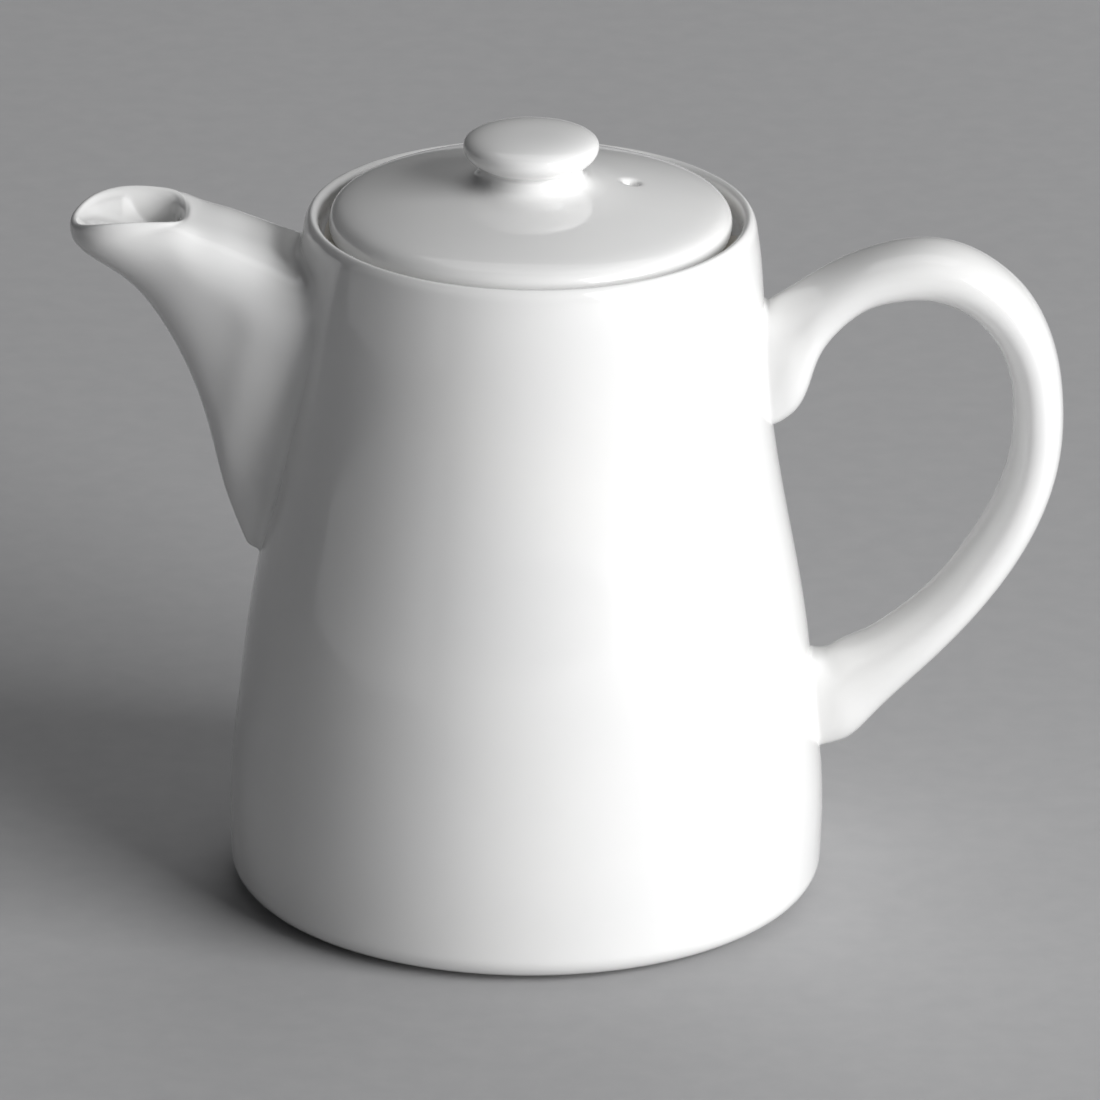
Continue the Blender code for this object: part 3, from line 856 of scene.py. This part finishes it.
def add_spout(glaze):
    """Closed skin: seam on the wall, outside, over the lip, down the scoop and the channel."""
    halves = [wall_half(SPOUT_ROOT, SPOUT_STANDOFF)]
    halves += [spout_half(row, (WEDGE, LIP)) for row in SPOUT_OUTSIDE]
    halves += [spout_half(row, (BOWL, LIP)) for row in SCOOP]
    inside = len(halves)
    no_mix_no_lift = (0.0, 0.0)
    halves += [spout_half(row + no_mix_no_lift, (ROUND, ROUND)) for row in CHANNEL]
    halves.append(wall_half(SPOUT_PORT, -DEEP))
    rings = loft_meridians(halves, LOFT_STEPS)
    lip = (inside - len(SCOOP) + 1) * LOFT_STEPS
    deep = inside * LOFT_STEPS
    rings[lip + 1:deep] = press_ramp(rings[lip + 1:deep], rings[lip])
    seam = closed_through(mirrored(wall_half(SPOUT_SEAM, -SINK)), OUTLINE_STEPS)
    flare = fillet(rings[0], rings[1], seam, SPOUT_PULL)
    land = closed_through(mirrored(wall_half(SPOUT_SEAM, -DEEP)), OUTLINE_STEPS)
    stack = [land] + flare[::-1] + rings
    add_piece("spout_shell", skin(stack, closed=True), "pot", "spout", [glaze])


# ---------------------------------------------------------------- handle

def squared(angle, roundness):
    """Cosine and sine of a slightly squared circle."""
    c, s = math.cos(angle), math.sin(angle)
    power = 2 / roundness
    return math.copysign(abs(c) ** power, c), math.copysign(abs(s) ** power, s)


def handle_ring(outer, inner, half_width):
    """Section of the loop between an outer and an inner point, each as x and z."""
    outer, inner = np.array(outer), np.array(inner)
    middle, arm = (outer + inner) / 2, (outer - inner) / 2
    ring = []
    for angle in even_angles(HANDLE_POINTS):
        c, s = squared(angle, HANDLE_ROUNDNESS)
        x, z = middle + arm * c
        ring.append((x, half_width * s, z))
    return np.array(ring)


def root_ring(root, grow, offset):
    """Root outline on the wall. It starts at the outer side of the loop."""
    outer, inner, half_width = root
    middle = (outer + inner) / 2
    arm = (outer - inner) / 2 + math.copysign(grow, outer - inner)
    ring = []
    for angle in even_angles(HANDLE_POINTS):
        c, s = squared(angle, ROOT_SQUARENESS)
        ring.append(on_wall(1, (half_width + grow) * s, middle + arm * c, offset))
    return np.array(ring)


def add_handle(glaze):
    """Closed skin from the upper root round the loop to the lower root."""
    sections = [root_ring(UPPER_ROOT, 0.0, ROOT_STANDOFF)]
    sections += [handle_ring(row[:2], row[2:], HANDLE_HALF_WIDTH) for row in HANDLE_UPPER]
    line = np.array(HANDLE_LINE)
    bends = through(line[:, :2], TANGENT_STEPS)
    for i, (x, z, half) in enumerate(line):
        before = max(i * TANGENT_STEPS - 1, 0)
        after = min(i * TANGENT_STEPS + 1, len(bends) - 1)
        along = bends[after] - bends[before]
        normal = np.array([-along[1], along[0]]) / np.hypot(*along)
        middle = np.array([x, z])
        sections.append(handle_ring(middle + half * normal, middle - half * normal,
                                    HANDLE_HALF_WIDTH))
    widths = np.linspace(HANDLE_HALF_WIDTH, LOWER_HALF_WIDTH, len(HANDLE_LOWER))
    sections += [handle_ring(row[:2], row[2:], width) for row, width in zip(HANDLE_LOWER, widths)]
    sections.append(root_ring(LOWER_ROOT, 0.0, ROOT_STANDOFF))
    strips = [through([section[i] for section in sections], LOFT_STEPS)
              for i in range(HANDLE_POINTS)]
    rings = [np.array(ring) for ring in zip(*strips)]
    upper_seam = root_ring(UPPER_ROOT, ROOT_FILLET, -SINK)
    lower_seam = root_ring(LOWER_ROOT, ROOT_FILLET, -SINK)
    top_flare = fillet(rings[0], rings[1], upper_seam, ROOT_PULL)
    low_flare = fillet(rings[-1], rings[-2], lower_seam, ROOT_PULL)
    stack = [root_ring(UPPER_ROOT, 0.0, -DEEP)] + top_flare[::-1] + rings
    stack += low_flare + [root_ring(LOWER_ROOT, 0.0, -DEEP)]
    add_piece("handle_loop", skin(stack), "pot", "handle", [glaze])


# ---------------------------------------------------------------- lid, lug and knob

def add_lid(glaze, biscuit):
    """Dome with its flange, pierced by the steam hole."""
    outside = [tuple(p) for p in LID_OUTSIDE]
    # The underside follows the dome's second to fifth points, from the outside in
    dome_under = [(r - LID_STEP_IN, z - LID_THICKNESS) for r, z in LID_CURVE[4:0:-1]]
    seat_round, outer_round, inner_round, dome_round = FLANGE_ROUNDS
    below = rounded([
        (SEAT_RADIUS, LID_SEAT, 0), (FLANGE_OUTER, LID_SEAT, seat_round),
        (FLANGE_OUTER, FLANGE_BOTTOM, outer_round), (FLANGE_INNER, FLANGE_BOTTOM, inner_round),
        (FLANGE_INNER, FLANGE_INSIDE, dome_round), (dome_under[0][0], UNDER_START, 0),
    ])
    under = [tuple(p) for p in through(dome_under, SHORT_STEPS)]
    profile = outside + below + under[1:] + [(NEAR_AXIS, LID_TOP - LID_THICKNESS)]
    bm = skin(turned(profile, even_angles(TURN_STEPS)))
    centre = (VENT_PLACE * math.cos(TURN), VENT_PLACE * math.sin(TURN))
    ceiling = np.array(under)[::-1]

    def over_dome(r, depth):
        return lid_height(r) - depth

    def under_dome(r, rise):
        return np.interp(r, ceiling[:, 0], ceiling[:, 1]) + rise

    def vent_ring(radius, offset, height):
        ring = []
        for angle in even_angles(VENT_POINTS):
            x = centre[0] + radius * math.cos(angle)
            y = centre[1] + radius * math.sin(angle)
            ring.append((x, y, height(math.hypot(x, y), offset)))
        return ring

    rings = [vent_ring(radius, depth, over_dome) for radius, depth in VENT_DIMPLE]
    rings += [vent_ring(radius, rise, under_dome) for radius, rise in VENT_UNDER]
    reach = VENT_DIMPLE[0][0] + VENT_PATCH

    def in_patch(spot):
        away = math.hypot(spot.x, spot.y) - VENT_PLACE
        sideways = (math.atan2(spot.y, spot.x) - TURN) * VENT_PLACE
        return abs(away) < reach and abs(sideways) < reach and spot.z > LID_SEAT

    pierce(bm, in_patch, rings, lambda spot: math.atan2(spot.y - centre[1], spot.x - centre[0]))
    pick = in_band(LID_BAND, LID_BAND_HEIGHTS)
    add_piece("lid_shell", bm, "lid", "lid", [glaze, biscuit], pick)


def add_lug(glaze):
    """Small rounded tab standing off the flange."""
    low, high = LUG_LOW[2], LUG_HIGH[2]
    start = FLANGE_OUTER - LUG_INSIDE
    reach = LUG_HIGH[0] - AXIS_X + LUG_REACH
    # Inset and rise along the round of the tab's edge
    edge = [(LUG_SOFT * (1 - math.sin(a)), LUG_SOFT * (1 - math.cos(a)))
            for a in np.radians(np.linspace(0, 90, LUG_EDGE_POINTS))]
    steps = [(low + rise, inset) for inset, rise in edge]
    steps += [(high - rise, inset) for inset, rise in edge[::-1]]
    rings = []
    for z, inset in steps:
        ring = []
        for angle in even_angles(LUG_POINTS):
            c, s = squared(angle, LUG_SQUARENESS)
            radial = start + (reach - inset - start) * (c + 1) / 2
            turn = TURN + (LUG_HALF - inset) * s / radial
            ring.append((radial * math.cos(turn), radial * math.sin(turn), z))
        rings.append(ring)
    add_piece("lid_lug_tab", skin(rings), "lid", "lid_lug", [glaze])


def add_knob(glaze):
    """Flattened button on a short neck that flares into the dome."""
    flare = [(r, lid_height(r) + rise) for r, rise in KNOB_FLARE] + [KNOB_NECK]
    flare = [tuple(p) for p in through(flare, FLARE_STEPS)]
    lower_points, upper_points = BUTTON_POINTS
    button = []
    for angle in np.linspace(KNOB_START, 0, lower_points)[:-1]:
        button.append((KNOB_RADIUS * math.cos(angle), KNOB_MIDDLE + KNOB_DROP * math.sin(angle)))
    for angle in np.linspace(0, KNOB_END, upper_points):
        c, s = squared(angle, KNOB_SQUARENESS)
        button.append((KNOB_RADIUS * c, KNOB_MIDDLE + (KNOB_TOP - KNOB_MIDDLE) * s))
    buried = flare[0][1] - KNOB_SINK
    foot = [(NEAR_AXIS, buried), (flare[0][0] - KNOB_STEP_IN, buried)]
    bm = skin(turned(foot + flare + button, even_angles(TURN_STEPS)))
    add_piece("lid_knob_button", bm, "lid", "lid_knob", [glaze])


# ---------------------------------------------------------------- studio

def aim(thing, target):
    """Turn a camera or light towards a place."""
    direction = Vector(target) - thing.location
    thing.rotation_mode = "QUATERNION"
    thing.rotation_quaternion = direction.to_track_quat("-Z", "Y")


def add_softbox(name, place, target, size, power):
    """Area light that the camera doesn't see. Size in metres, power in watts."""
    light = bpy.data.lights.new(name, "AREA")
    light.shape = "RECTANGLE"
    light.size, light.size_y = size
    light.energy = power
    box = put(name, light)
    box.location = place
    aim(box, target)
    box.visible_camera = False
    return box


def add_floor():
    """Plain matte paper, wide enough to fill every view."""
    bm = bmesh.new()
    bmesh.ops.create_circle(bm, cap_ends=True, segments=FLOOR_SEGMENTS, radius=FLOOR_RADIUS)
    mesh = bpy.data.meshes.new("studio_floor")
    bm.to_mesh(mesh)
    bm.free()
    floor = put("studio_floor", mesh)
    nodes = Nodes("floor_paper")
    tone = nodes.spread(nodes.noise(size_mm=6.0), 0.3, 0.7)
    nodes.join(nodes.blend(tone, *FLOOR_TONES), nodes.shader.inputs["Base Color"])
    nodes.shader.inputs["Roughness"].default_value = 1.0
    nodes.shader.inputs["Specular IOR Level"].default_value = 0.1
    mesh.materials.append(nodes.material)


def add_world():
    """Faint even light from all sides."""
    world = bpy.data.worlds.new("studio_air")
    world.use_nodes = True
    air = world.node_tree.nodes["Background"]
    air.inputs["Color"].default_value = AIR_COLOUR
    air.inputs["Strength"].default_value = AIR_STRENGTH
    bpy.context.scene.world = world


def add_camera():
    """Long lens, looking down at the pot from the front."""
    data = bpy.data.cameras.new("camera")
    data.sensor_width = CAMERA_SENSOR
    data.lens = CAMERA_LENS
    data.clip_start, data.clip_end = CAMERA_RANGE
    camera = put("camera", data)
    axis = Vector((AXIS_X, 0.0, 0.0))
    camera.location = (axis + Vector(CAMERA_PLACE)) * MM
    aim(camera, (axis + Vector(CAMERA_AIM)) * MM)
    camera.rotation_mode = "XYZ"
    camera.rotation_euler.rotate_axis("Z", CAMERA_ROLL)
    bpy.context.scene.camera = camera


def around(turn, rise, distance):
    """Place round the pot's middle, by compass turn and rise in degrees."""
    turn, rise = math.radians(turn), math.radians(rise)
    flat = distance * math.cos(rise)
    return (MIDDLE[0] + flat * math.cos(turn), flat * math.sin(turn),
            MIDDLE[2] + distance * math.sin(rise))


def add_lights():
    """Large key from the front right, a faint panel on the left, a top light and a back fill."""
    add_softbox("key_right", around(turn=-35, rise=20, distance=3.0), MIDDLE,
                size=(2.25, 2.1), power=131.0)
    beside = around(turn=-157.5, rise=0, distance=0.42)
    panel = add_softbox("panel_left", beside[:2] + (PANEL_HEIGHT,), MIDDLE[:2] + (PANEL_HEIGHT,),
                        size=(0.46, 0.46), power=0.22)
    # The panel is there for its reflection in the glaze, and the fill for its light
    panel.visible_diffuse = False
    add_softbox("top", around(turn=80, rise=75, distance=1.4), MIDDLE,
                size=(1.2, 0.8), power=2.0)
    fill = add_softbox("back_fill", around(turn=75, rise=15, distance=2.6), MIDDLE,
                       size=(1.6, 1.0), power=22.0)
    fill.visible_glossy = False


def main():
    bpy.context.scene.view_settings.view_transform = "Standard"
    add_camera()
    glaze = make_glaze()
    biscuit = make_biscuit()
    add_body(glaze, biscuit)
    add_foot_ring(biscuit)
    add_spout(glaze)
    add_handle(glaze)
    add_lid(glaze, biscuit)
    add_lug(glaze)
    add_knob(glaze)
    add_floor()
    add_world()
    add_lights()


main()
